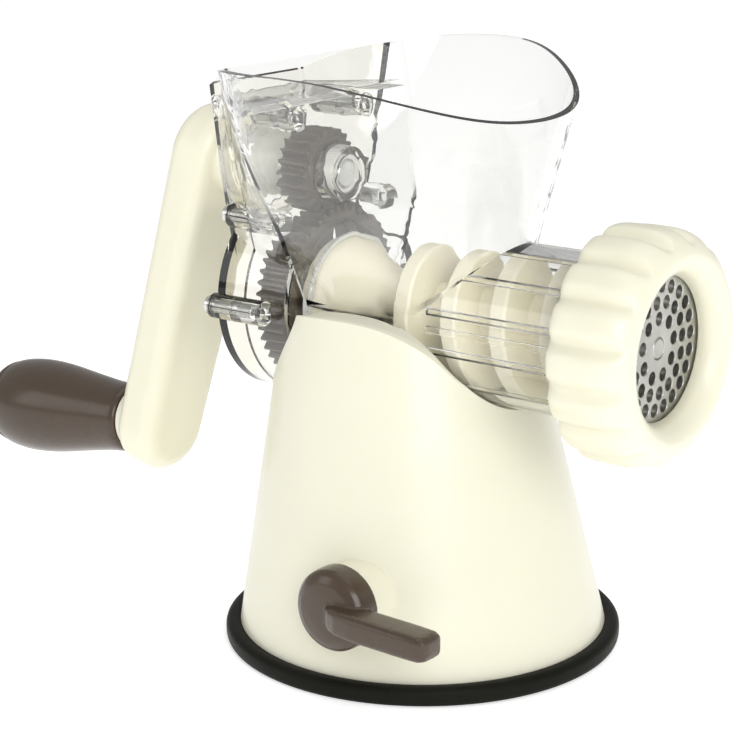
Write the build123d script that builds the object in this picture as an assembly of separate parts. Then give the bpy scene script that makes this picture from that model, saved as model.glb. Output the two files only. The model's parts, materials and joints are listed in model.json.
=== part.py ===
"""Hand crank meat grinder on a suction base.

Frame: millimetres, +Z up, origin at the centre of the base's bottom face.
+X runs along the auger from the crank to the cutting plate, and the suction lever is on the -Y side.
"""
import math
import os

from build123d import *

# ---------------------------------------------------------------- driving dimensions
RING_RADIUS = 70.0          # rubber ring, outer
RING_HEIGHT = 6.6
FLOOR_Z = 6.0               # underside of the floor plate and of the housing wall
FLOOR_THICK = 3.0
CONE_FOOT_RADIUS = 64.8     # housing, outer, at FLOOR_Z
CONE_TOP_RADIUS = 41.0      # housing, outer, at CONE_TOP_Z
CONE_TOP_Z = 126.0
CONE_TOP_SHIFT = -7.4       # the cone leans towards the crank
SHELL_WALL = 2.6
# the S-shaped top edge of the housing, as (x, z) points
TOP_EDGE = [(-64, 118.5), (-24, 119.6), (-4, 121), (8, 119.8), (18, 116), (26.5, 109.5),
            (33, 102), (41, 96), (52, 94)]
FLOOR_RADIUS = 60.8
POST_CIRCLE = 54.3          # radius on which the four floor screws stand
POST_RADIUS = 6.6
POST_TURNS = (45, 135, 225, 315)
SPIGOT_X = 8.0              # stud under the barrel that holds it to the saddle
SPIGOT_RADIUS = 8.0
SPIGOT_FOOT_Z = 78.0

AUGER_Z = 118.0             # axis of the auger, barrel and ring nut
BARREL_RADIUS = 27.8
BORE_RADIUS = 24.0
CLEAR_WALL = 2.2
NECK_START_X = 76.0
NECK_END_X = 92.5
NECK_RADIUS = 29.2
PLATE_RADIUS = 26.9
PLATE_BACK_X = 89.5
PLATE_THICK = 4.0
PLATE_HOLES = ((9.8, 9), (15.2, 16), (20.4, 22))  # radius of each ring of holes, and how many
PLATE_HOLE_RADIUS = 2.2
NUT_RADIUS = 39.4
NUT_BACK_X = 74.0
NUT_OPENING_RADIUS = 23.9
NUT_SCALLOPS = 16

GEAR_MODULE = 1.25
PINION_TEETH = 22
DRIVE_TEETH = 48
PINION_Z = AUGER_Z + GEAR_MODULE * (PINION_TEETH + DRIVE_TEETH) / 2
PINION_X = (-54.0, -41.5)
DRIVE_X = (-48.0, -36.5)
AUGER_CORE_RADIUS = 10.5
AUGER_JOURNAL_RADIUS = 6.0
COLLAR_RADIUS = 21.5
FLIGHT_RADIUS = 23.3
FLIGHT_PITCH = 19.5
FLIGHT_TURNS = 4.3
FLIGHT_START_X = -6.0
FLIGHT_LAND = 6.4           # width of the flight's outer face
PIN_RADIUS = 3.6            # pin on the auger's end that the cutting plate runs on
SQUARE_HALF = 4.6           # half the width of the knife's square

HOPPER_FOOT_Z = AUGER_Z
HOPPER_TOP_Z = 206.0
BEARING_WALL_X = (-33.0, -30.5)  # upright wall behind the auger's collar
BACK_WALL = ((-30.5, 146.0), (-45.0, 203.0))  # front face of the sloping wall behind the hopper
BACK_WALL_THICK = 2.4
COVER_SPLIT_X = -50.0
CASE_BACK_X = -76.0
DRUM_RADIUS = 36.0
DRUM_BACK_X = -62.0
CASE_ROOF_Z = 186.0
# half outlines of the hopper and gear case, from the front tip to the rear corner, as (x, y) points
TOP_HALF = [(54, 0), (51, 22), (42.5, 39), (26, 55), (4, 66.5), (-20, 69), (-42, 57), (-56, 39),
            (-66, 28.5), (CASE_BACK_X, 24)]
FOOT_HALF = [(36, 0), (34, 9), (28, 17.5), (18, 23.5), (6, 26.2), (-12, 26.2), (-26, 25.6),
             (-40, 25), (-54, 24.5), (CASE_BACK_X, 24)]
# the arched rim, as (x, z) points
RIM_EDGE = [(70, 184), (46.5, 188.6), (36, 192.8), (20, 198.6), (4, 202.6), (-15, 204), (-32, 203.6),
            (-48, 201.6), (-60, 198.5), (-70, 193.8), (-82, 187.5)]
# the sloping back of the gear cover, as (x, z) points
BACK_SLOPE = ((-76.5, 206.0), (-62.0, 132.0))
# the cover screws, as (y, z) places
COVER_SCREWS = [(18.4, 182.6), (-18.4, 182.6), (28.6, 148.2), (-28.6, 148.2), (39.2, 118), (-39.2, 118)]

CRANK_SHAFT_RADIUS = 5.0
CRANK_PLANE_X = -91.8       # middle of the arm at the hub
CRANK_LENGTH = 103.0
CRANK_LEAN = 8.9            # degrees, the arm leans away from the grinder
CRANK_SWING = -10.6         # degrees about +X, where the arm rests
CRANK_THICK = 19.0
ARM_HUB_RADIUS = 19.0
ARM_END_RADIUS = 16.0
SPINDLE_RADIUS = 3.5
GRIP_TILT = 3.5             # degrees, the grip's outer end points away from the crank's axis
GRIP_LENGTH = 72.0

LEVER_X = 14.0
LEVER_Z = 31.8
LEVER_DROOP = 1.5           # degrees below level
LEVER_HUB_RADIUS = 14.3
LEVER_HUB_Y = (-73.0, -62.4)
LEVER_SHAFT_RADIUS = 5.0
LEVER_BOSS_Y = (-62.1, -47.0)
BUSH_OUTER_RADIUS = 8.0
CAM_RADIUS = 9.0
CAM_OFFSET = 3.0
CAM_CLEARANCE = 0.9         # above and below the cam in its slot
CUP_FACE_Z = 0.3
CUP_TOP_Z = 2.7
STEM_RADIUS = 7.0           # pull rod of the suction cup

RUNNING_GAP = 0.06          # radial clearance of a shaft in its bush


# ---------------------------------------------------------------- helpers
def rod_x(radius, x0, x1, y=0.0, z=0.0):
    """Cylinder along X."""
    return Pos((x0 + x1) / 2, y, z) * Cylinder(radius, x1 - x0, rotation=(0, 90, 0))


def rod_y(radius, y0, y1, x=0.0, z=0.0):
    """Cylinder along Y."""
    return Pos(x, (y0 + y1) / 2, z) * Cylinder(radius, y1 - y0, rotation=(90, 0, 0))


def rod_z(radius, z0, z1, x=0.0, y=0.0):
    """Cylinder along Z."""
    return Pos(x, y, (z0 + z1) / 2) * Cylinder(radius, z1 - z0)


def block(x0, x1, y0, y1, z0, z1):
    """Box between two corners."""
    return Pos((x0 + x1) / 2, (y0 + y1) / 2, (z0 + z1) / 2) * Box(x1 - x0, y1 - y0, z1 - z0)


def turned_x(points, z=0.0):
    """Solid turned about the X direction from (x, radius) points."""
    profile = make_face(Polyline(*[(x, 0, r) for x, r in points], close=True))
    return Pos(0, 0, z) * revolve(profile, Axis.X)


def turned_z(points):
    """Solid turned about Z from (radius, z) points."""
    profile = make_face(Polyline(*[(r, 0, z) for r, z in points], close=True))
    return revolve(profile, Axis.Z)


def above_curve(points, top, half_width=90.0):
    """Everything above a curve in the XZ plane, across the whole width."""
    first, last = points[0], points[-1]
    curve = Spline(*[(x, 0, z) for x, z in points])
    sides = Polyline((last[0], 0, last[1]), (last[0], 0, top), (first[0], 0, top), (first[0], 0, first[1]))
    return extrude(make_face([curve, sides]), amount=half_width, both=True)


def prism_y(points, half_width=90.0):
    """Prism across the width from a polygon in the XZ plane."""
    outline = make_face(Polyline(*[(x, 0, z) for x, z in points], close=True))
    return extrude(outline, amount=half_width, both=True)


def screw_x(head_radius, head_x0, head_x1, shank_radius, tip_x, y, z):
    """Pan head screw along X with a cross slot in its head."""
    body = rod_x(head_radius, head_x0, head_x1, y, z)
    body += rod_x(shank_radius, head_x1, tip_x, y, z)
    slot = block(head_x0, head_x0 + 0.9, y - 1.9, y + 1.9, z - 0.45, z + 0.45)
    slot += block(head_x0, head_x0 + 0.9, y - 0.45, y + 0.45, z - 1.9, z + 1.9)
    return body - slot


def mirror_points(half):
    """A half outline from the front tip to the rear corner, closed round the far side."""
    return [(x, -y) for x, y in reversed(half[1:])] + half


def inset(half, wall):
    """The same half outline moved inwards by the wall."""
    full = mirror_points(half)
    count = len(half)
    moved = []
    for i in range(count - 1, 2 * count - 1):
        x, y = full[i]
        ahead = full[min(i + 1, len(full) - 1)]
        behind = full[i - 1]
        dx, dy = ahead[0] - behind[0], ahead[1] - behind[1]
        length = math.hypot(dx, dy)
        moved.append((x - wall * dy / length, y + wall * dx / length))
    moved[0] = (half[0][0] - wall, 0.0)
    moved[-1] = (half[-1][0], half[-1][1] - wall)
    return moved


def outline_face(half, z):
    """Closed face from a half outline: a smooth side and a straight back."""
    points = [(x, y, z) for x, y in mirror_points(half)]
    return make_face([Spline(*points), Line(points[-1], points[0])])


# ---------------------------------------------------------------- base
def cone(inset_by=0.0, z0=FLOOR_Z, z1=CONE_TOP_Z):
    """The leaning cone of the housing, or its inner volume."""
    foot = Pos(0, 0, z0) * Circle(CONE_FOOT_RADIUS - inset_by)
    head = Pos(CONE_TOP_SHIFT, 0, z1) * Circle(CONE_TOP_RADIUS - inset_by)
    return loft([foot.face(), head.face()])


def above_housing(lower_by=0.0):
    """The space above the housing's S-shaped top edge."""
    return above_curve([(x, z - lower_by) for x, z in TOP_EDGE], 160.0)


def post_places():
    """Where the four floor screws and their posts stand."""
    return [(POST_CIRCLE * math.cos(math.radians(turn)), POST_CIRCLE * math.sin(math.radians(turn)))
            for turn in POST_TURNS]


def make_base_shell():
    shell = cone() - cone(SHELL_WALL)
    for x, y in post_places():
        post = rod_z(POST_RADIUS, FLOOR_Z + FLOOR_THICK, 24, x, y)
        shell += post & cone()
        shell -= rod_z(1.6, FLOOR_Z, 22, x, y)
    shell += rod_y(13.4, LEVER_BOSS_Y[0], LEVER_BOSS_Y[1], LEVER_X, LEVER_Z)
    shell -= rod_y(BUSH_OUTER_RADIUS, -63, -46, LEVER_X, LEVER_Z)
    shell -= above_housing()
    shell -= rod_x(DRUM_RADIUS + 2.5, -80, -21, z=AUGER_Z)
    shell -= rod_x(BARREL_RADIUS + 0.5, -30, 60, z=AUGER_Z)
    return shell


def make_saddle():
    """Cradle under the barrel and gear drum, closing the top of the housing."""
    inside = cone(SHELL_WALL)
    cap = (inside - above_housing(0.4)) & above_housing(3.4)
    cap -= rod_x(BARREL_RADIUS + 0.4, -60, 60, z=AUGER_Z)
    trough = rod_x(BARREL_RADIUS + 3.0, -18.5, 46, z=AUGER_Z)
    trough -= rod_x(BARREL_RADIUS + 0.4, -60, 60, z=AUGER_Z)
    trough -= above_housing(0.4)
    drum_trough = rod_x(DRUM_RADIUS + 2.5, -60, -18.5, z=AUGER_Z)
    drum_trough -= rod_x(DRUM_RADIUS + 0.4, -60, -21, z=AUGER_Z)
    drum_trough -= rod_x(BARREL_RADIUS + 0.4, -60, 60, z=AUGER_Z)
    drum_trough -= above_housing(0.4)
    saddle = cap - rod_x(DRUM_RADIUS + 0.4, -60, -21, z=AUGER_Z)
    saddle += trough & inside
    saddle += drum_trough & inside
    saddle -= rod_z(SPIGOT_RADIUS + 0.4, 60, 100, SPIGOT_X)
    seam_half = BARREL_RADIUS + 1.8
    saddle -= block(-30, 40, -seam_half, seam_half, AUGER_Z + 0.4, 130)
    return saddle


def make_spigot_washer():
    washer = rod_z(12.5, SPIGOT_FOOT_Z - 2.2, SPIGOT_FOOT_Z - 0.2, SPIGOT_X)
    return washer - rod_z(3.2, 60, 80, SPIGOT_X)


def make_spigot_screw():
    screw = rod_z(5.5, SPIGOT_FOOT_Z - 6.0, SPIGOT_FOOT_Z - 2.2, SPIGOT_X)
    screw += rod_z(2.6, SPIGOT_FOOT_Z - 2.2, SPIGOT_FOOT_Z + 7.5, SPIGOT_X)
    socket = extrude(RegularPolygon(2.4, 6), amount=2, both=True)
    return screw - Pos(SPIGOT_X, 0, SPIGOT_FOOT_Z - 5) * socket


def make_rubber_ring():
    edge = [(58, 0), (68.4, 0), (69.5, 0.6), (RING_RADIUS, 1.8), (RING_RADIUS, 4.8), (69.4, 6.0),
            (68.2, RING_HEIGHT), (65.6, RING_HEIGHT), (65.3, 6.3), (65.3, FLOOR_Z), (58, FLOOR_Z)]
    return turned_z(edge)


def make_base_floor():
    """Floor plate with the stem's guide and the pedestal behind the lever's shaft."""
    floor = rod_z(FLOOR_RADIUS, FLOOR_Z, FLOOR_Z + FLOOR_THICK)
    floor += rod_z(11, FLOOR_Z + FLOOR_THICK, 15)
    floor -= rod_z(STEM_RADIUS + 0.08, 0, 20)
    for x, y in post_places():
        floor -= rod_z(2.0, 0, 20, x, y)
    pedestal = block(LEVER_X - 11, LEVER_X + 11, 9.5, 15.5, FLOOR_Z + FLOOR_THICK, LEVER_Z + 11)
    pedestal = fillet(pedestal.edges().filter_by(Axis.Y).sort_by(Axis.Z)[-2:], 7)
    pedestal -= rod_y(LEVER_SHAFT_RADIUS + RUNNING_GAP, 5, 20, LEVER_X, LEVER_Z)
    return floor + pedestal


def make_base_screws():
    screws = []
    for x, y in post_places():
        screw = rod_z(3.4, 3.6, FLOOR_Z, x, y) + rod_z(1.55, FLOOR_Z, 20, x, y)
        screw -= block(x - 2.2, x + 2.2, y - 0.45, y + 0.45, 3.6, 4.6)
        screw -= block(x - 0.45, x + 0.45, y - 2.2, y + 2.2, 3.6, 4.6)
        screws.append(screw)
    return Compound(screws)


# ---------------------------------------------------------------- suction lever and cup
def make_suction_cup():
    dish = [(0, CUP_FACE_Z), (48, CUP_FACE_Z), (48, 1.3), (42, CUP_TOP_Z), (0, CUP_TOP_Z)]
    return turned_z(dish)


def make_cup_stem():
    """Pull rod of the suction cup with a yoke around the lever's cam."""
    stem = rod_z(STEM_RADIUS, CUP_TOP_Z, 17)
    yoke = block(LEVER_X - 22, LEVER_X + 15.5, -5.5, 5.5, 16.3, 46.5)
    yoke = fillet(yoke.edges().filter_by(Axis.Y), 4)
    slot_half = CAM_RADIUS + CAM_OFFSET + 0.6
    slot = block(LEVER_X - slot_half, LEVER_X + slot_half, -9, 9,
                 LEVER_Z - CAM_RADIUS - CAM_CLEARANCE, LEVER_Z + CAM_RADIUS + CAM_CLEARANCE)
    return stem + (yoke - fillet(slot.edges().filter_by(Axis.Y), 3))


def make_lever_cam():
    """Round cam beside the shaft's axis, so that a quarter turn lifts the yoke by CAM_OFFSET."""
    cam = rod_y(CAM_RADIUS, -5, 5, LEVER_X + CAM_OFFSET, LEVER_Z)
    return cam - rod_y(LEVER_SHAFT_RADIUS, -9, 9, LEVER_X, LEVER_Z)


def make_lever_shaft():
    shaft = rod_y(LEVER_SHAFT_RADIUS, LEVER_HUB_Y[0] + 6, 17, LEVER_X, LEVER_Z)
    return chamfer(shaft.edges().sort_by(Axis.Y)[-1], 0.8)


def make_lever_bush():
    hole = rod_y(LEVER_SHAFT_RADIUS + RUNNING_GAP, -70, 0, LEVER_X, LEVER_Z)
    return rod_y(BUSH_OUTER_RADIUS, LEVER_BOSS_Y[0], LEVER_BOSS_Y[1] + 0.5, LEVER_X, LEVER_Z) - hole


def make_suction_lever():
    hub = rod_y(LEVER_HUB_RADIUS, LEVER_HUB_Y[0], LEVER_HUB_Y[1], LEVER_X, LEVER_Z)
    hub = fillet(hub.edges().sort_by(Axis.Y)[0], 5.5)
    bar = block(LEVER_X - 2, LEVER_X + 44.5, -79.4, -67.4, LEVER_Z - 4.4, LEVER_Z + 4.4)
    bar = chamfer(bar.edges().filter_by(Axis.Y).sort_by(Axis.X)[-2:], 2.6)
    bar = fillet(bar.edges(), 1.2)
    bar = Pos(LEVER_X, 0, LEVER_Z) * (Rot(0, LEVER_DROOP, 0) * (Pos(-LEVER_X, 0, -LEVER_Z) * bar))
    lever = hub + bar
    return lever - rod_y(LEVER_SHAFT_RADIUS, LEVER_HUB_Y[0] + 6, -40, LEVER_X, LEVER_Z)


# ---------------------------------------------------------------- clear body and cover
def funnel(wall=0.0):
    """Hopper and upper gear case as one lofted form, outside or inside."""
    top = outline_face(inset(TOP_HALF, wall), HOPPER_TOP_Z)
    foot = outline_face(inset(FOOT_HALF, wall), HOPPER_FOOT_Z)
    return loft([foot, top])


def behind_slope(step=0.0):
    """The space behind the sloping back of the gear cover."""
    (x_top, z_top), (x_low, z_low) = BACK_SLOPE
    return prism_y([(-110, 230), (x_top - 4.7 + step, 230), (x_top + step, z_top), (x_low + step, z_low),
                    (x_low + step, 60), (-110, 60)])


def span_x(x0, x1, z0=60.0, z1=230.0):
    return block(x0, x1, -90, 90, z0, z1)


def behind_hopper(step=0.0):
    """The space behind the hopper's back wall: an upright stretch, then a slope."""
    (x_low, z_low), (x_top, z_top) = BACK_WALL
    lean = (x_top - x_low) / (z_top - z_low)
    return prism_y([(-110, 60), (x_low - step, 60), (x_low - step, z_low), (x_top - step, z_top),
                    (x_top - step + 27 * lean, z_top + 27), (-110, z_top + 27)])


def gear_chamber():
    """Room for both gears, through the body and the cover."""
    room = funnel(CLEAR_WALL) & behind_hopper(BACK_WALL_THICK) & span_x(-90, 0, 100, CASE_ROOF_Z)
    room += rod_x(DRUM_RADIUS - CLEAR_WALL, DRUM_BACK_X + 2.4, BEARING_WALL_X[0], z=AUGER_Z)
    return room - behind_slope(2.4)


def roof_tray():
    """Open tray above the gear chamber's roof."""
    tray = funnel(CLEAR_WALL) & behind_hopper(BACK_WALL_THICK) & span_x(-90, 0, CASE_ROOF_Z + 2.2, 230)
    return tray - behind_slope(2.4)


def screw_bosses(x0, x1):
    return [rod_x(4.4, x0, x1, y, z) for y, z in COVER_SCREWS]


def make_grinder_body():
    room = gear_chamber()
    body = funnel() & span_x(COVER_SPLIT_X, 80)
    body += rod_x(DRUM_RADIUS, COVER_SPLIT_X, BEARING_WALL_X[1], z=AUGER_Z)
    body -= room
    body -= roof_tray()
    body -= above_curve(RIM_EDGE, 230.0)
    body += rod_x(BARREL_RADIUS, BEARING_WALL_X[0], NECK_START_X, z=AUGER_Z)
    body += rod_x(NECK_RADIUS, NECK_START_X, NECK_END_X, z=AUGER_Z)
    seam_half = BARREL_RADIUS + 1.3
    body += block(22, NECK_START_X, -seam_half, seam_half, AUGER_Z + 0.6, AUGER_Z + 2.6)
    body += rod_z(SPIGOT_RADIUS, SPIGOT_FOOT_Z, 95, SPIGOT_X)
    body -= rod_z(2.6, SPIGOT_FOOT_Z - 1, SPIGOT_FOOT_Z + 8, SPIGOT_X)
    body -= (funnel(CLEAR_WALL) & span_x(-90, 80, AUGER_Z, 230)) - behind_hopper()
    # bore, knife recess, plate seat and the hole for the auger's collar
    body -= rod_x(BORE_RADIUS, BEARING_WALL_X[1], 84.6, z=AUGER_Z)
    body -= rod_x(PLATE_RADIUS + 0.1, 84.5, 100, z=AUGER_Z)
    body -= rod_x(23.2, -40, -30, z=AUGER_Z)
    for k in range(12):
        turn = math.radians(15 + 30 * k)
        groove = rod_x(1.3, 20, 84, BORE_RADIUS * math.cos(turn), AUGER_Z + BORE_RADIUS * math.sin(turn))
        body -= groove
    # key slot for the cutting plate
    body -= block(87, 100, -2.2, 2.2, AUGER_Z + 25, AUGER_Z + 28.2)
    # front bearing of the pinion
    body += rod_x(9.5, -40.2, -30.6, z=PINION_Z)
    body -= rod_x(6.6, -41, -32.2, z=PINION_Z)
    for boss in screw_bosses(COVER_SPLIT_X, -38):
        body += boss
    for y, z in COVER_SCREWS:
        body -= rod_x(1.5, -60, -40, y, z)
    # thread on the neck
    for k in range(3):
        x = NECK_START_X + 3.5 + 4.5 * k
        foot, crest = NECK_RADIUS - 0.5, NECK_RADIUS + 1.1
        body += turned_x([(x - 1.2, foot), (x + 1.2, foot), (x + 0.4, crest), (x - 0.4, crest)], AUGER_Z)
    return body


def make_gear_cover():
    split = COVER_SPLIT_X - 0.1
    cover = funnel() & span_x(CASE_BACK_X - 4, split)
    cover += rod_x(DRUM_RADIUS, DRUM_BACK_X, split, z=AUGER_Z)
    cover -= behind_slope()
    cover -= gear_chamber()
    cover -= roof_tray()
    cover -= above_curve(RIM_EDGE, 230.0)
    # drum around the crank boss, with its bush
    ring = rod_x(18.0, -73.5, -58, z=PINION_Z) - rod_x(15.8, -80, -50, z=PINION_Z)
    cover += ring & (behind_slope(1.2))
    cover += rod_x(11.5, -78.4, -56.5, z=PINION_Z)
    cover -= rod_x(8.0, -80, -50, z=PINION_Z)
    # rear bearing of the auger shaft
    cover += rod_x(11.0, DRUM_BACK_X, -52.0, z=AUGER_Z)
    cover -= rod_x(8.0, DRUM_BACK_X + 2.4, -50, z=AUGER_Z)
    for boss in screw_bosses(-60.5, split):
        cover += boss
    for y, z in COVER_SCREWS:
        cover -= rod_x(1.5, -70, -40, y, z)
        cover -= rod_x(3.4, -90, -60.5, y, z)
    return cover


def make_cover_screws():
    screws = [screw_x(3.2, -63.0, -60.5, 1.5, -42, y, z) for y, z in COVER_SCREWS]
    return Compound(screws)


def bush_x(outer, inner, x0, x1, z):
    return rod_x(outer, x0, x1, z=z) - rod_x(inner, x0 - 1, x1 + 1, z=z)


# ---------------------------------------------------------------- gears and auger
def gear_outline(teeth, turn=0.0):
    """Tooth outline with straight flanks and running backlash."""
    pitch_radius = GEAR_MODULE * teeth / 2
    tip, root = pitch_radius + 1.1, pitch_radius - 1.5
    half_pitch_width = GEAR_MODULE * math.pi * 0.21
    slope = math.tan(math.radians(20))
    points = []
    for k in range(teeth):
        middle = math.radians(90 + turn + 360 * k / teeth)
        for radius, side in ((root, -1), (tip, -1), (tip, 1), (root, 1)):
            half = half_pitch_width + (pitch_radius - radius) * slope
            angle = middle + side * half / radius
            points.append((radius * math.cos(angle), radius * math.sin(angle)))
    return make_face(Polyline(*points, close=True))


def gear_x(teeth, x0, x1, z, turn=0.0):
    face = Pos(x0, 0, z) * (Plane.YZ * gear_outline(teeth, turn))
    return extrude(face, amount=x1 - x0)


def make_pinion():
    pinion = gear_x(PINION_TEETH, PINION_X[0], PINION_X[1], PINION_Z, 180 / PINION_TEETH)
    pinion += rod_x(11.3, PINION_X[1] - 0.5, -40.6, z=PINION_Z)
    pinion -= rod_x(9.8, -41.4, -40, z=PINION_Z) - rod_x(8.6, -42, -40, z=PINION_Z)
    return pinion - rod_x(CRANK_SHAFT_RADIUS, -60, -30, z=PINION_Z)


def make_drive_gear():
    gear = gear_x(DRIVE_TEETH, DRIVE_X[0], DRIVE_X[1], AUGER_Z)
    gear -= turned_x([(-49, 13), (-44.5, 13), (-44.5, 26), (-49, 26)], AUGER_Z)
    gear -= turned_x([(-40.5, 15), (-36, 15), (-36, 26), (-40.5, 26)], AUGER_Z)
    for k in range(6):
        turn = math.radians(60 * k + 15)
        gear -= rod_x(3.2, -50, -30, 20.5 * math.cos(turn), AUGER_Z + 20.5 * math.sin(turn))
    return gear - rod_x(9.0, -50, -30, z=AUGER_Z)


def make_auger():
    """Journal, gear seat, collar, core with its flight, knife square and pin, in one piece."""
    core = turned_x([(-59.0, 0), (-59.0, AUGER_JOURNAL_RADIUS), (-50, AUGER_JOURNAL_RADIUS), (-50, 8.99),
                     (-36.4, 8.99), (-36.4, COLLAR_RADIUS), (-29.6, COLLAR_RADIUS), (-26, 20.2),
                     (-16, 14.5), (-10, 11.5), (-6, AUGER_CORE_RADIUS), (82.5, AUGER_CORE_RADIUS),
                     (84.8, 8.5), (84.8, 0)], AUGER_Z)
    tang = block(84.0, 89.2, -SQUARE_HALF, SQUARE_HALF, AUGER_Z - SQUARE_HALF, AUGER_Z + SQUARE_HALF)
    pin = chamfer(rod_x(PIN_RADIUS, 88, 93.6, z=AUGER_Z).edges().sort_by(Axis.X)[-1], 0.6)
    path = Helix(FLIGHT_PITCH, FLIGHT_PITCH * FLIGHT_TURNS, AUGER_CORE_RADIUS - 1.5)
    foot, shoulder, half_land = AUGER_CORE_RADIUS - 3, FLIGHT_RADIUS - 0.8, FLIGHT_LAND / 2
    half_section = [(foot, 0, -half_land - 1.4), (shoulder, 0, -half_land)]
    half_section.append((FLIGHT_RADIUS, 0, 0.8 - half_land))
    other_half = [(radius, 0, -along) for radius, across, along in reversed(half_section)]
    section = make_face(Polyline(*half_section, *other_half, close=True))
    flight = sweep(section, path=path, is_frenet=True)
    flight = Pos(FLIGHT_START_X, 0, AUGER_Z) * (Rot(0, 90, 0) * flight)
    flight -= rod_x(AUGER_CORE_RADIUS - 0.1, -60, 100, z=AUGER_Z)
    return core + flight + tang + pin


def make_knife():
    """Four-winged knife on the auger's square."""
    knife = rod_x(9.0, 85.1, 89.3, z=AUGER_Z)
    for k in range(4):
        wing = block(86.2, 89.3, -3.4, 3.4, 0, 24.5)
        wing = chamfer(wing.edges().filter_by(Axis.Z).sort_by(Axis.X)[0], 1.6)
        knife += Pos(0, 0, AUGER_Z) * (Rot(45 + 90 * k, 0, 0) * wing)
    return knife - block(80, 95, -SQUARE_HALF, SQUARE_HALF, AUGER_Z - SQUARE_HALF, AUGER_Z + SQUARE_HALF)


def make_grinding_plate():
    plate = rod_x(PLATE_RADIUS, PLATE_BACK_X, PLATE_BACK_X + PLATE_THICK, z=AUGER_Z)
    plate -= rod_x(PIN_RADIUS + RUNNING_GAP, 80, 100, z=AUGER_Z)
    for ring_radius, count in PLATE_HOLES:
        for k in range(count):
            turn = math.radians(360 * (k + 0.25) / count)
            hole_y = ring_radius * math.cos(turn)
            hole_z = AUGER_Z + ring_radius * math.sin(turn)
            plate -= rod_x(PLATE_HOLE_RADIUS, 80, 100, hole_y, hole_z)
    plate += block(PLATE_BACK_X, PLATE_BACK_X + PLATE_THICK - 1.2, -1.9, 1.9, AUGER_Z + 26, AUGER_Z + 28)
    return plate


# ---------------------------------------------------------------- ring nut
def make_ring_nut():
    cavity_radius = 31.3
    profile = [(NUT_BACK_X, cavity_radius), (NUT_BACK_X, 36.0), (NUT_BACK_X + 2.5, 38.4),
               (NUT_BACK_X + 9, NUT_RADIUS), (92.0, NUT_RADIUS), (96.4, 38.8), (100.2, 36.9), (102.3, 34.2),
               (103.0, 31.4), (102.5, 28.6),
               (100.7, 26.0), (98.6, 24.5), (96.6, NUT_OPENING_RADIUS), (93.8, NUT_OPENING_RADIUS),
               (93.8, cavity_radius)]
    nut = turned_x(profile, AUGER_Z)
    for k in range(NUT_SCALLOPS):
        turn = math.radians(360 * (k + 0.5) / NUT_SCALLOPS)
        dip = rod_x(5.0, 70, 110, 43.0 * math.cos(turn), AUGER_Z + 43.0 * math.sin(turn))
        nut -= dip
    return nut


def make_nut_gasket():
    return bush_x(31.0, 27.3, 92.8, 93.5, AUGER_Z)


# ---------------------------------------------------------------- crank and grip
def swing(shape):
    """From the arm's own hanging pose to the pose it rests in."""
    return Pos(0, 0, PINION_Z) * (Rot(CRANK_SWING, 0, 0) * (Pos(0, 0, -PINION_Z) * shape))


ARM_END_X = CRANK_PLANE_X - CRANK_LENGTH * math.sin(math.radians(CRANK_LEAN))
ARM_END_Z = PINION_Z - CRANK_LENGTH * math.cos(math.radians(CRANK_LEAN))
GRIP_X = ARM_END_X - CRANK_THICK / 2 - 2.9  # inner end of the grip
GRIP_Z = ARM_END_Z


def along_grip(shape):
    """From the +X direction through the grip's inner end to the grip's own axis."""
    return Pos(GRIP_X, 0, GRIP_Z) * (Rot(0, -GRIP_TILT, 0) * (Pos(-GRIP_X, 0, -GRIP_Z) * shape))


def make_crank_arm():
    end_circle = Pos(0, -CRANK_LENGTH) * Circle(ARM_END_RADIUS)
    outline = make_hull([*Circle(ARM_HUB_RADIUS).edges(), *end_circle.edges()])
    arm = extrude(Plane.YZ * outline, amount=CRANK_THICK / 2, both=True)
    arm = fillet(arm.edges().filter_by(GeomType.LINE) + arm.edges().filter_by(GeomType.CIRCLE), 6.5)
    arm = Pos(CRANK_PLANE_X, 0, PINION_Z) * (Rot(0, CRANK_LEAN, 0) * arm)
    hub = fillet(rod_x(13.5, -92, -80.0, z=PINION_Z).edges().sort_by(Axis.X)[-1], 1.5)
    seat = along_grip(rod_x(11.6, GRIP_X + 0.4, GRIP_X + 12, z=GRIP_Z))
    arm = arm + hub + seat
    arm -= rod_x(CRANK_SHAFT_RADIUS, -96, -70, z=PINION_Z)
    arm -= rod_x(8.2, -115, -96, z=PINION_Z)
    arm -= along_grip(rod_x(SPINDLE_RADIUS, GRIP_X - 20, GRIP_X + 15, z=GRIP_Z))
    return swing(arm)


def make_crank_shaft():
    shaft = rod_x(CRANK_SHAFT_RADIUS, -96, -33, z=PINION_Z)
    shaft = chamfer(shaft.edges().sort_by(Axis.X)[-1], 0.6)
    return swing(shaft - rod_x(2.0, -97, -84, z=PINION_Z))


def make_crank_screw():
    screw = rod_x(6.0, -98.4, -96, z=PINION_Z) + rod_x(2.0, -96, -84, z=PINION_Z)
    return swing(screw - block(-98.4, -97.4, -4, 4, PINION_Z - 0.6, PINION_Z + 0.6))


def make_crank_cap():
    cap = turned_x([(-101.6, 0), (-101.6, 6.2), (-100.6, 8.0), (-98.6, 8.2), (-98.6, 0)], PINION_Z)
    return swing(cap)


def make_crank_washer():
    return bush_x(9.5, CRANK_SHAFT_RADIUS, -79.9, -78.7, PINION_Z)


def make_grip_spindle():
    tip = GRIP_X - GRIP_LENGTH + 6
    spindle = rod_x(SPINDLE_RADIUS, tip, GRIP_X + 15, z=GRIP_Z) + rod_x(6.0, tip, tip + 2.2, z=GRIP_Z)
    return swing(along_grip(spindle))


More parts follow.
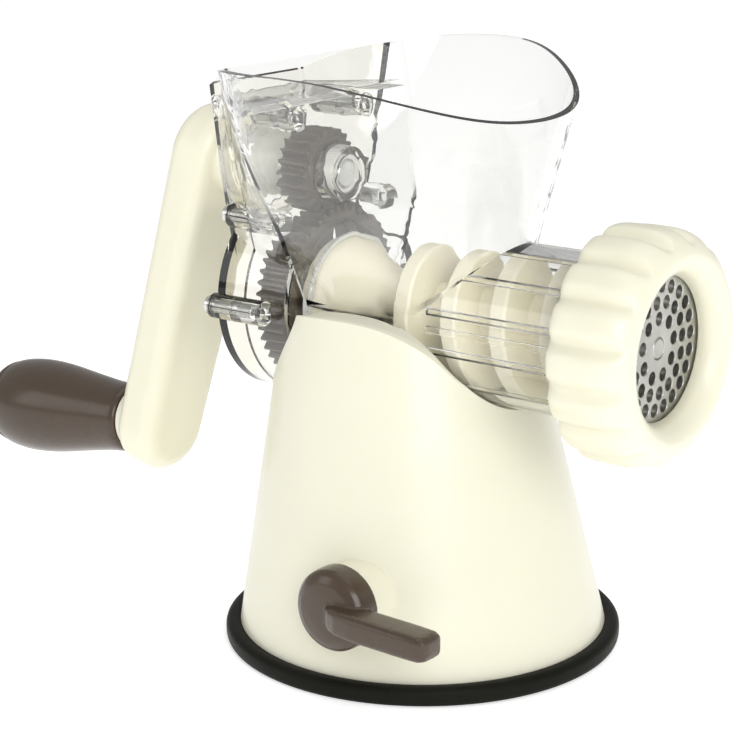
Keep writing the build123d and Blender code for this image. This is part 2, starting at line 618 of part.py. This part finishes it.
def make_grip():
    """Grip that swells towards its outer end, turned from its radius along its length."""
    ends = [(0, 12.9), (12, 13.5), (24, 15.2), (36, 17.2), (47, 18.1), (55, 17.6), (61, 16.2)]
    curve = Spline(*[(GRIP_X - d, 0, r) for d, r in ends])
    first, last = ends[0], ends[-1]
    outer_x = GRIP_X - last[0]
    sides = Polyline((outer_x, 0, last[1]), (outer_x, 0, 0), (GRIP_X, 0, 0), (GRIP_X, 0, first[1]))
    grip = Pos(0, 0, GRIP_Z) * revolve(make_face([curve, sides]), Axis.X)
    grip = fillet(grip.edges().sort_by(Axis.X)[-1], 1.4)
    grip -= rod_x(SPINDLE_RADIUS + RUNNING_GAP, -220, -100, z=GRIP_Z)
    return swing(along_grip(grip - rod_x(7.0, -220, GRIP_X - GRIP_LENGTH + 9, z=GRIP_Z)))


def make_grip_cap():
    """Domed end cap that closes the grip over the spindle's head."""
    start = GRIP_X - 61.2
    tip = GRIP_X - GRIP_LENGTH
    ends = [(-0.93, 0, -0.36), (0, 0, -1)]
    dome = Spline((start, 0, 16.1), (start - 7.5, 0, 12.6), (tip, 0, 0), tangents=ends)
    sides = Polyline((tip, 0, 0), (start, 0, 0), (start, 0, 16.1))
    cap = Pos(0, 0, GRIP_Z) * revolve(make_face([dome, sides]), Axis.X)
    return swing(along_grip(cap - rod_x(7.0, start - 9.5, start + 1, z=GRIP_Z)))


# ---------------------------------------------------------------- output
NODES = {
    "base_shell": make_base_shell,
    "saddle_cradle": make_saddle,
    "spigot_washer": make_spigot_washer,
    "spigot_screw": make_spigot_screw,
    "rubber_ring": make_rubber_ring,
    "base_floor": make_base_floor,
    "base_screws": make_base_screws,
    "suction_cup": make_suction_cup,
    "cup_stem": make_cup_stem,
    "lever_cam": make_lever_cam,
    "lever_shaft": make_lever_shaft,
    "lever_bush": make_lever_bush,
    "suction_lever": make_suction_lever,
    "grinder_body": make_grinder_body,
    "gear_cover": make_gear_cover,
    "cover_screws": make_cover_screws,
    "pinion_front_bush": lambda: bush_x(6.6, CRANK_SHAFT_RADIUS + RUNNING_GAP, -38.6, -33.2, PINION_Z),
    "pinion_rear_bush": lambda: bush_x(8.0, CRANK_SHAFT_RADIUS + RUNNING_GAP, -78.4, -56.5, PINION_Z),
    "auger_rear_bush": lambda: bush_x(8.0, AUGER_JOURNAL_RADIUS + RUNNING_GAP, -59.6, -52.0, AUGER_Z),
    "auger_seal": lambda: bush_x(23.2, COLLAR_RADIUS + 0.1, BEARING_WALL_X[0], BEARING_WALL_X[1], AUGER_Z),
    "grinding_plate": make_grinding_plate,
    "pinion": make_pinion,
    "drive_gear": make_drive_gear,
    "auger": make_auger,
    "knife": make_knife,
    "ring_nut": make_ring_nut,
    "nut_gasket": make_nut_gasket,
    "crank_arm": make_crank_arm,
    "crank_shaft": make_crank_shaft,
    "crank_washer": make_crank_washer,
    "crank_screw": make_crank_screw,
    "crank_cap": make_crank_cap,
    "grip_spindle": make_grip_spindle,
    "grip": make_grip,
    "grip_cap": make_grip_cap,
}

os.makedirs("parts", exist_ok=True)
for name, make in NODES.items():
    solid = make()
    export_step(solid, f"parts/{name}.step")
    print(name, round(solid.volume / 1000, 2), "cm3")
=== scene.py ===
"""Looks of the hand crank meat grinder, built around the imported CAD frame. Lengths are in metres."""
import json
import math

import bmesh
import bpy
from mathutils import Matrix, Vector


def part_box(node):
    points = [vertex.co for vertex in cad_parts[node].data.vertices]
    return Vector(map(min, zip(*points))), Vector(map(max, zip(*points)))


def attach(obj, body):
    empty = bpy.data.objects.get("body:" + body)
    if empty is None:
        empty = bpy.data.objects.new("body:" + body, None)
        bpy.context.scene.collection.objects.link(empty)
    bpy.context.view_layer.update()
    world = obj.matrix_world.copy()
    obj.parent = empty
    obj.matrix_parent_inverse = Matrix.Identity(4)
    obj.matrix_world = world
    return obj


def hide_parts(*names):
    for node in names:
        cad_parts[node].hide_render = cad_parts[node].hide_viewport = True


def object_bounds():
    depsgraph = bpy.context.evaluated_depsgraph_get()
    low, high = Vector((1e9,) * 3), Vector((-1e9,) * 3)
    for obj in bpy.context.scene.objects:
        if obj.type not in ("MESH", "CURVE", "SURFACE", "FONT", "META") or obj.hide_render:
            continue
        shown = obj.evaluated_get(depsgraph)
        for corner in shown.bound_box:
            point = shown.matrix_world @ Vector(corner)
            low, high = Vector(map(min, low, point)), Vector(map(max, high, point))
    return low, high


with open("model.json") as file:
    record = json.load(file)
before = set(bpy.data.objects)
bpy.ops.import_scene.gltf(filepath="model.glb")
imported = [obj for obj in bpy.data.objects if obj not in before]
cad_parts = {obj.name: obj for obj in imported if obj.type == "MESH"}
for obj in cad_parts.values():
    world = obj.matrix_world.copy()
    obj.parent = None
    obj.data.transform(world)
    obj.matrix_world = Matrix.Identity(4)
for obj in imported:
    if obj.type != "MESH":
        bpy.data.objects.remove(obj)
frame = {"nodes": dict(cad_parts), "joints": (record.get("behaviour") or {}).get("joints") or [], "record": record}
CAD_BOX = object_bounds()

MM = 0.001
NODES = frame["nodes"]
JOINTS = {joint["name"]: joint for joint in frame["joints"]}
BODY_OF = {node: body for body, group in frame["record"]["behaviour"]["bodies"].items() for node in group}
SLOT_OF = {part["node"]: part["material_slot"] for part in frame["record"]["subparts"]}

AUGER_Z = JOINTS["auger_turn"]["pos_m"][2]


# ---------------------------------------------------------------- materials
def new_material(name, **shader_values):
    """A material with its Principled shader's constant values set on the shader itself."""
    material = bpy.data.materials.new(name)
    material.use_nodes = True
    shader = material.node_tree.nodes["Principled BSDF"]
    for socket, value in shader_values.items():
        shader.inputs[socket.replace("_", " ")].default_value = value
    return material, material.node_tree, shader


def object_coordinates(tree):
    return tree.nodes.new("ShaderNodeTexCoord").outputs["Object"]


def noise(tree, vector, scale, detail=3.0, roughness=0.5):
    texture = tree.nodes.new("ShaderNodeTexNoise")
    texture.inputs["Scale"].default_value = scale
    texture.inputs["Detail"].default_value = detail
    texture.inputs["Roughness"].default_value = roughness
    tree.links.new(vector, texture.inputs["Vector"])
    return texture.outputs["Fac"]


def ramp(tree, factor, stops):
    """Colour ramp from (position, colour) stops."""
    node = tree.nodes.new("ShaderNodeValToRGB")
    elements = node.color_ramp.elements
    for element, (position, colour) in zip(elements, (stops[0], stops[-1])):
        element.position = position
        element.color = colour
    for position, colour in stops[1:-1]:
        element = elements.new(position)
        element.color = colour
    tree.links.new(factor, node.inputs["Fac"])
    return node.outputs["Color"]


def to_range(tree, factor, low, high):
    node = tree.nodes.new("ShaderNodeMapRange")
    node.inputs["To Min"].default_value = low
    node.inputs["To Max"].default_value = high
    tree.links.new(factor, node.inputs["Value"])
    return node.outputs["Result"]


def bump(tree, shader, height, strength, distance):
    node = tree.nodes.new("ShaderNodeBump")
    node.inputs["Strength"].default_value = strength
    node.inputs["Distance"].default_value = distance
    tree.links.new(height, node.inputs["Height"])
    tree.links.new(node.outputs["Normal"], shader.inputs["Normal"])


def tinted(colour, factor):
    return tuple(min(1.0, channel * factor) for channel in colour[:3]) + (1.0,)


def moulded_plastic(name, colour, rough, spread, **values):
    """Injection moulded plastic: slow colour drift, fine orange peel and uneven gloss."""
    material, tree, shader = new_material(name, **values)
    where = object_coordinates(tree)
    drift = noise(tree, where, 22.0, 4.0)
    stops = [(0.3, tinted(colour, 1 - spread)), (0.7, tinted(colour, 1 + spread))]
    tree.links.new(ramp(tree, drift, stops), shader.inputs["Base Color"])
    fine = noise(tree, where, 900.0, 2.0)
    patch = noise(tree, where, 60.0, 3.0)
    tree.links.new(to_range(tree, patch, rough * 0.8, rough * 1.25), shader.inputs["Roughness"])
    bump(tree, shader, fine, 0.05, 0.0002)
    return material


def rubber(name, colour):
    """Black rubber with a faint grain and dusty patches."""
    material, tree, shader = new_material(name, Specular_IOR_Level=0.1)
    where = object_coordinates(tree)
    dust = noise(tree, where, 45.0, 6.0, 0.65)
    stops = [(0.35, colour), (0.75, tinted(colour, 1.6))]
    tree.links.new(ramp(tree, dust, stops), shader.inputs["Base Color"])
    tree.links.new(to_range(tree, dust, 0.38, 0.6), shader.inputs["Roughness"])
    bump(tree, shader, noise(tree, where, 1600.0, 2.0), 0.12, 0.0002)
    return material


def clear_plastic(name, colour, rough):
    """Clear styrene: polished, with slight flow waves in its surface."""
    material, tree, shader = new_material(name, Transmission_Weight=1.0, IOR=1.49)
    where = object_coordinates(tree)
    shade = noise(tree, where, 9.0, 2.0)
    stops = [(0.2, tinted(colour, 0.985)), (0.8, tinted(colour, 1.0))]
    tree.links.new(ramp(tree, shade, stops), shader.inputs["Base Color"])
    patch = noise(tree, where, 70.0, 3.0)
    tree.links.new(to_range(tree, patch, rough * 0.5, rough * 1.6), shader.inputs["Roughness"])
    bump(tree, shader, noise(tree, where, 38.0, 1.0), 0.06, 0.0006)
    return material


def ground_steel(name, colour):
    """Plate steel with a fine grinding grain and a broad uneven tone."""
    material, tree, shader = new_material(name, Metallic=1.0)
    where = object_coordinates(tree)
    fine = noise(tree, where, 700.0, 5.0, 0.7)
    broad = noise(tree, where, 90.0, 3.0)
    stops = [(0.25, tinted(colour, 0.8)), (0.75, tinted(colour, 1.12))]
    tree.links.new(ramp(tree, broad, stops), shader.inputs["Base Color"])
    tree.links.new(to_range(tree, fine, 0.28, 0.5), shader.inputs["Roughness"])
    bump(tree, shader, fine, 0.12, 0.0001)
    return material


def plated_steel(name, colour):
    material, tree, shader = new_material(name, Metallic=1.0)
    where = object_coordinates(tree)
    cloud = noise(tree, where, 160.0, 4.0)
    stops = [(0.3, tinted(colour, 0.85)), (0.7, tinted(colour, 1.05))]
    tree.links.new(ramp(tree, cloud, stops), shader.inputs["Base Color"])
    tree.links.new(to_range(tree, cloud, 0.16, 0.34), shader.inputs["Roughness"])
    bump(tree, shader, noise(tree, where, 900.0, 2.0), 0.05, 0.0001)
    return material


CREAM = (0.86, 0.835, 0.67, 1)
MATERIALS = {
    "cream": moulded_plastic("cream_plastic", CREAM, 0.3, spread=0.012, Subsurface_Weight=0.15,
                             Subsurface_Radius=(0.006, 0.005, 0.003), Subsurface_Scale=1.0, Coat_Weight=0.15),
    "cream_inner": moulded_plastic("cream_plastic_inner", (0.78, 0.76, 0.62, 1), 0.45, spread=0.02),
    "black_rubber": rubber("black_rubber", (0.006, 0.006, 0.004, 1)),
    "brown_gloss": moulded_plastic("brown_gloss", (0.066, 0.044, 0.028, 1), 0.26, spread=0.08,
                                   Coat_Weight=0.2, Coat_Roughness=0.12, Specular_IOR_Level=0.4),
    "brown_matte": moulded_plastic("brown_matte", (0.07, 0.05, 0.038, 1), 0.5, spread=0.05),
    "clear_plastic": clear_plastic("clear_plastic", (0.957, 0.957, 0.946, 1), 0.015),
    "gear_taupe": moulded_plastic("taupe_nylon", (0.088, 0.071, 0.051, 1), 0.42, spread=0.05),
    "auger_cream": moulded_plastic("auger_plastic", (0.84, 0.8, 0.635, 1), 0.36, spread=0.02,
                                   Subsurface_Weight=0.15, Subsurface_Radius=(0.006, 0.005, 0.003),
                                   Subsurface_Scale=1.0),
    "steel": ground_steel("ground_steel", (0.5, 0.5, 0.47, 1)),
    "screw_steel": plated_steel("plated_steel", (0.72, 0.72, 0.7, 1)),
    "bush_white": moulded_plastic("white_acetal", (0.75, 0.75, 0.7, 1), 0.4, spread=0.03),
    "seal_white": moulded_plastic("silicone", (0.7, 0.7, 0.66, 1), 0.55, spread=0.03),
}
COVER_MATERIAL = clear_plastic("clear_plastic_cover", (0.955, 0.942, 0.885, 1), 0.02)


# ---------------------------------------------------------------- pieces from CAD nodes
EDGE_ROUNDING = 0.3 * MM
SHARP_ANGLE = math.radians(32)
WELD_DISTANCE = 0.002 * MM
SLIVER_EDGE = 0.003 * MM
FLAT_ANGLE = math.radians(0.4)


def refined(node):
    """A welded copy of a CAD node with rounded edges and clean shading, which stands for the node."""
    mesh = NODES[node].data.copy()
    mesh.name = node + "_mesh"
    bm = bmesh.new()
    bm.from_mesh(mesh)
    bmesh.ops.remove_doubles(bm, verts=bm.verts, dist=WELD_DISTANCE)
    bmesh.ops.dissolve_degenerate(bm, edges=bm.edges, dist=SLIVER_EDGE)
    bmesh.ops.dissolve_limit(bm, angle_limit=FLAT_ANGLE, verts=bm.verts, edges=bm.edges)
    bm.to_mesh(mesh)
    bm.free()
    while mesh.attributes.get("custom_normal"):
        mesh.attributes.remove(mesh.attributes["custom_normal"])
    piece = bpy.data.objects.new(node + "_skin", mesh)
    bpy.context.scene.collection.objects.link(piece)
    rounding = piece.modifiers.new("rounded_edges", "BEVEL")
    rounding.width = EDGE_ROUNDING
    rounding.segments = 2
    rounding.limit_method = "ANGLE"
    rounding.angle_limit = SHARP_ANGLE
    rounding.use_clamp_overlap = True
    rounding.harden_normals = False
    for polygon in mesh.polygons:
        polygon.use_smooth = True
    mesh.set_sharp_from_angle(angle=SHARP_ANGLE)
    normals = piece.modifiers.new("clean_normals", "WEIGHTED_NORMAL")
    normals.keep_sharp = True
    finish_piece(piece, node)


PIN_FACE_X = 93.2 * MM
PIN_RADIUS = 3.7 * MM


def tip_pin(name):
    """The metal end of the pin that shows in the middle of the cutting plate."""
    mesh = bpy.data.objects[name].data
    mesh.materials.append(MATERIALS["steel"])
    for polygon in mesh.polygons:
        middle = polygon.center
        if middle.x > PIN_FACE_X and math.hypot(middle.y, middle.z - AUGER_Z) < PIN_RADIUS:
            polygon.material_index = 1


def finish_piece(piece, node):
    """Material and body of a piece, chosen by the slot and body of the node that it stands for, which is hidden.
    """
    slot = SLOT_OF[node]
    piece.data.materials.clear()
    piece.data.materials.append(COVER_MATERIAL if node == "gear_cover" else MATERIALS[slot])
    # light reaches what stands behind clear plastic
    piece.visible_shadow = slot != "clear_plastic"
    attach(piece, BODY_OF[node])
    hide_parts(node)


# ---------------------------------------------------------------- pieces built as smooth meshes
def lathe(name, rings, steps, place, shape=None):
    """Closed surface turned about a line: rings are (along, radius) pairs in order round the section.

    place is the matrix that carries the X axis to that line; shape may change a radius by (radius, turn).
    """
    mesh = bpy.data.meshes.new(name)
    bm = bmesh.new()
    rows = []
    for along, radius in rings:
        row = []
        for k in range(steps if radius else 1):
            turn = 2 * math.pi * k / steps
            here = shape(along, radius, turn) if shape else radius
            row.append(bm.verts.new((along, here * math.cos(turn), here * math.sin(turn))))
        rows.append(row)
    closed = len(rows[0]) > 1 and len(rows[-1]) > 1
    for i in range(len(rows) if closed else len(rows) - 1):
        bridge_rows(bm, rows[i], rows[(i + 1) % len(rows)], steps)
    bmesh.ops.recalc_face_normals(bm, faces=bm.faces)
    bm.to_mesh(mesh)
    bm.free()
    mesh.transform(place)
    for polygon in mesh.polygons:
        polygon.use_smooth = True
    piece = bpy.data.objects.new(name, mesh)
    bpy.context.scene.collection.objects.link(piece)
    return piece


def line_place(start, direction):
    """Matrix that carries the X axis to the line from start along direction."""
    turn = Vector((1, 0, 0)).rotation_difference(Vector(direction)).to_matrix().to_4x4()
    return Matrix.Translation(start) @ turn


def bridge_rows(bm, first, second, steps):
    for k in range(steps):
        following = (k + 1) % steps
        if len(first) == 1:
            bm.faces.new((first[0], second[k], second[following]))
        elif len(second) == 1:
            bm.faces.new((first[k], second[0], first[following]))
        else:
            bm.faces.new((first[k], second[k], second[following], first[following]))


def subdivide(piece, levels=1):
    modifier = piece.modifiers.new("smooth_form", "SUBSURF")
    modifier.levels = levels
    modifier.render_levels = levels


def scaled(points):
    return [(along * MM, radius * MM) for along, radius in points]


NUT_SCALLOPS = 16
SCALLOP_DEPTH = 3.0 * MM
SCALLOP_WIDTH = 0.16        # share of the pitch
NUT_SIDE_RADIUS = 34.6 * MM


def nut_surface(along, radius, turn):
    """Finger scallops round the nut's side, fading out where its face begins."""
    place = (turn * NUT_SCALLOPS / (2 * math.pi)) % 1.0
    groove = math.exp(-((place - 0.5) / SCALLOP_WIDTH) ** 2)
    fade = min(1.0, max(0.0, (radius - NUT_SIDE_RADIUS) / (2.6 * MM)))
    return radius - SCALLOP_DEPTH * groove * fade


def make_ring_nut():
    back_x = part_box("ring_nut")[0].x
    section = [(0, 31.3), (0, 33), (0, 35.6), (0.4, 36.9), (1.4, 38.2), (3.0, 38.9), (6, 39.3), (10, 39.4),
               (14, 39.4), (17.5, 39.3), (20.5, 38.9), (23.2, 38.0), (25.6, 36.5), (27.4, 34.5), (28.5, 32.3),
               (28.95, 30.6), (28.7, 29.2), (27.9, 27.6), (26.6, 26.1), (25.0, 25.0), (23.6, 24.3),
               (22.4, 23.95), (21.2, 23.9), (20.2, 23.9), (19.8, 24.2), (19.8, 27.5), (19.8, 31.0),
               (19.5, 31.3), (10, 31.3), (1, 31.3)]
    place = Matrix.Translation((back_x, 0, AUGER_Z))
    nut = lathe("ring_nut_body", scaled(section), NUT_SCALLOPS * 14, place, nut_surface)
    subdivide(nut, 1)
    finish_piece(nut, "ring_nut")


def make_rubber_ring():
    section = [(0, 58), (0, 63), (0, 68.2), (0.25, 69.1), (0.9, 69.7), (1.9, 70.0), (3.3, 70.0), (4.8, 70.0),
               (5.6, 69.6), (6.2, 68.9), (6.55, 68.0), (6.6, 67.0), (6.55, 66.0), (6.35, 65.5),
               (6.1, 65.3), (6.0, 65.0), (6.0, 62), (6.0, 58.2), (5.8, 58.0), (0.2, 58.0)]
    ring = lathe("rubber_ring_band", scaled(section), 160, line_place((0, 0, 0), (0, 0, 1)))
    subdivide(ring, 1)
    finish_piece(ring, "rubber_ring")


LEVER_DROOP = math.radians(1.5)
# the lever's bar, in mm: distance from its shaft, half width, half height and the Y of its middle
LEVER_BAR = [(1.0, 3.6, 3.2, -71.0), (4.0, 5.2, 4.1, -71.8), (8.0, 5.8, 4.4, -72.8),
             (14.0, 6.0, 4.4, -73.4), (26.0, 6.0, 4.4, -73.4), (36.0, 6.0, 4.4, -73.4),
             (41.5, 5.8, 4.3, -73.4), (43.7, 4.8, 3.6, -73.4), (44.3, 2.6, 2.0, -73.4)]
BAR_CORNERS = 24


def lever_bar(bm, middle):
    """Rounded bar that grows out of the hub's face."""
    rows = []
    for along, half_width, half_height, depth in LEVER_BAR:
        row = []
        for k in range(BAR_CORNERS):
            turn = 2 * math.pi * k / BAR_CORNERS
            across = math.copysign(abs(math.cos(turn)) ** 0.4, math.cos(turn)) * half_width
            up = math.copysign(abs(math.sin(turn)) ** 0.4, math.sin(turn)) * half_height
            x = along * math.cos(LEVER_DROOP) + up * math.sin(LEVER_DROOP)
            z = up * math.cos(LEVER_DROOP) - along * math.sin(LEVER_DROOP)
            row.append(bm.verts.new((middle.x + x * MM, (depth + across) * MM, middle.z + z * MM)))
        rows.append(row)
    for first, second in zip(rows, rows[1:]):
        bridge_rows(bm, first, second, BAR_CORNERS)
    bm.faces.new(rows[0])
    bm.faces.new(rows[-1])


def make_lever():
    """Round hub and bar, run together into one moulded form."""
    middle = Vector(JOINTS["lever_turn"]["pos_m"])
    hub_back_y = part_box("suction_lever")[1].y
    hub_section = [(0, 0), (0, 5.2), (0, 14.2), (4.0, 14.25), (7.0, 14.0), (8.8, 12.6), (10.0, 10.2),
                   (10.7, 6.4), (10.9, 3.0), (11.0, 0)]
    lever = lathe("suction_lever_body", scaled(hub_section), 96,
                  line_place((middle.x, hub_back_y, middle.z), (0, -1, 0)))
    bm = bmesh.new()
    bm.from_mesh(lever.data)
    lever_bar(bm, middle)
    bmesh.ops.recalc_face_normals(bm, faces=bm.faces)
    bm.to_mesh(lever.data)
    bm.free()
    blend = lever.modifiers.new("one_form", "REMESH")
    blend.mode = "VOXEL"
    blend.voxel_size = 0.45 * MM
    blend.use_smooth_shade = True
    soften = lever.modifiers.new("soft_joins", "SMOOTH")
    soften.factor = 0.6
    soften.iterations = 8
    finish_piece(lever, "suction_lever")


GRIP_SPLIT = 61.0           # from the grip's inner end to its end cap


def grip_place():
    """From the grip's inner end outwards along its spindle."""
    joint = JOINTS["grip_spin"]
    return line_place(joint["pos_m"], -Vector(joint["axis"]))


def make_grip():
    """Swelling grip, open at its outer end, where the cap closes it."""
    section = [(0, 3.56), (0, 9.6), (0.25, 11.5), (1.2, 12.6), (3.5, 12.95), (8, 13.15), (12, 13.5),
               (24, 15.2), (36, 17.2), (47, 18.1), (55, 17.6), (GRIP_SPLIT - 1.6, 16.7),
               (GRIP_SPLIT - 0.5, 16.25), (GRIP_SPLIT - 0.1, 15.9), (GRIP_SPLIT, 15.3), (GRIP_SPLIT, 9.0),
               (GRIP_SPLIT, 3.56), (GRIP_SPLIT / 2, 3.56)]
    grip = lathe("grip_handle", scaled(section), 72, grip_place())
    subdivide(grip, 2)
    finish_piece(grip, "grip")


def make_grip_cap():
    """Domed end cap with a shallow step where it meets the grip."""
    section = [(0.2, 0), (0.2, 9.0), (0.2, 15.2), (0.3, 15.8), (0.9, 16.0), (2.1, 15.7), (4.4, 14.4),
               (6.7, 12.1), (8.7, 8.9), (10.1, 5.1), (10.7, 2.0), (10.8, 0)]
    rings = [(along + GRIP_SPLIT * MM, radius) for along, radius in scaled(section)]
    cap = lathe("grip_end_cap", rings, 72, grip_place())
    subdivide(cap, 2)
    finish_piece(cap, "grip_cap")


# ---------------------------------------------------------------- stage
FLOOR_HALF = 40.0
FLOOR_GAP = 0.2 * MM        # under the lowest face, so the two don't flicker


def make_floor():
    mesh = bpy.data.meshes.new("floor")
    corners = [(-1, -1), (1, -1), (1, 1), (-1, 1)]
    mesh.from_pydata([(x * FLOOR_HALF, y * FLOOR_HALF, 0) for x, y in corners], [], [(0, 1, 2, 3)])
    floor = bpy.data.objects.new("floor", mesh)
    floor.location.z = CAD_BOX[0][2] - FLOOR_GAP
    bpy.context.scene.collection.objects.link(floor)
    material, tree, shader = new_material("floor_paper", Roughness=0.9, Specular_IOR_Level=0.1,
                                          Emission_Color=(1, 1, 1, 1), Emission_Strength=0.52)
    where = object_coordinates(tree)
    stops = [(0.3, (0.90, 0.90, 0.90, 1)), (0.7, (0.92, 0.92, 0.92, 1))]
    tree.links.new(ramp(tree, noise(tree, where, 3.0), stops), shader.inputs["Base Color"])
    mesh.materials.append(material)


def area_light(name, location, target, size, power):
    light = bpy.data.lights.new(name, "AREA")
    light.shape = "RECTANGLE"
    light.size, light.size_y = size
    light.energy = power
    lamp = bpy.data.objects.new(name, light)
    lamp.location = location
    lamp.rotation_euler = (Vector(target) - Vector(location)).to_track_quat("-Z", "Y").to_euler()
    bpy.context.scene.collection.objects.link(lamp)


def make_lights():
    middle = (0, 0, 0.11)
    area_light("key_softbox", (1.1, -0.85, 0.7), middle, (0.8, 0.8), 9)
    area_light("left_softbox", (-0.9, -1.1, 0.6), middle, (0.5, 0.7), 1.6)
    area_light("top_softbox", (0, 0.2, 1.5), middle, (1.2, 1.2), 4)
    world = bpy.data.worlds.new("studio")
    world.use_nodes = True
    background = world.node_tree.nodes["Background"]
    background.inputs["Color"].default_value = (1, 1, 1, 1)
    background.inputs["Strength"].default_value = 0.52
    bpy.context.scene.world = world
    bpy.context.scene.view_settings.view_transform = "Standard"


CAMERA_PLACE = Vector((0.436, -0.5932, 0.2966))
CAMERA_AIM = Vector((-0.0239, 0, 0.0927))
CAMERA_ROLL = math.radians(-0.36)
CAMERA_LENS = 107.6
CAMERA_SENSOR = 36


def make_camera():
    data = bpy.data.cameras.new("camera")
    data.lens = CAMERA_LENS
    data.sensor_width = CAMERA_SENSOR
    data.clip_start = 0.01
    camera = bpy.data.objects.new("camera", data)
    turn = (CAMERA_AIM - CAMERA_PLACE).to_track_quat("-Z", "Y").to_matrix().to_4x4()
    camera.matrix_world = Matrix.Translation(CAMERA_PLACE) @ turn @ Matrix.Rotation(CAMERA_ROLL, 4, "Z")
    bpy.context.scene.collection.objects.link(camera)
    bpy.context.scene.camera = camera


REBUILT = {"ring_nut": make_ring_nut, "rubber_ring": make_rubber_ring, "grip": make_grip,
           "grip_cap": make_grip_cap, "suction_lever": make_lever}
for make in REBUILT.values():
    make()
for name in NODES:
    if name not in REBUILT:
        refined(name)
tip_pin("auger_skin")
make_floor()
make_lights()
make_camera()
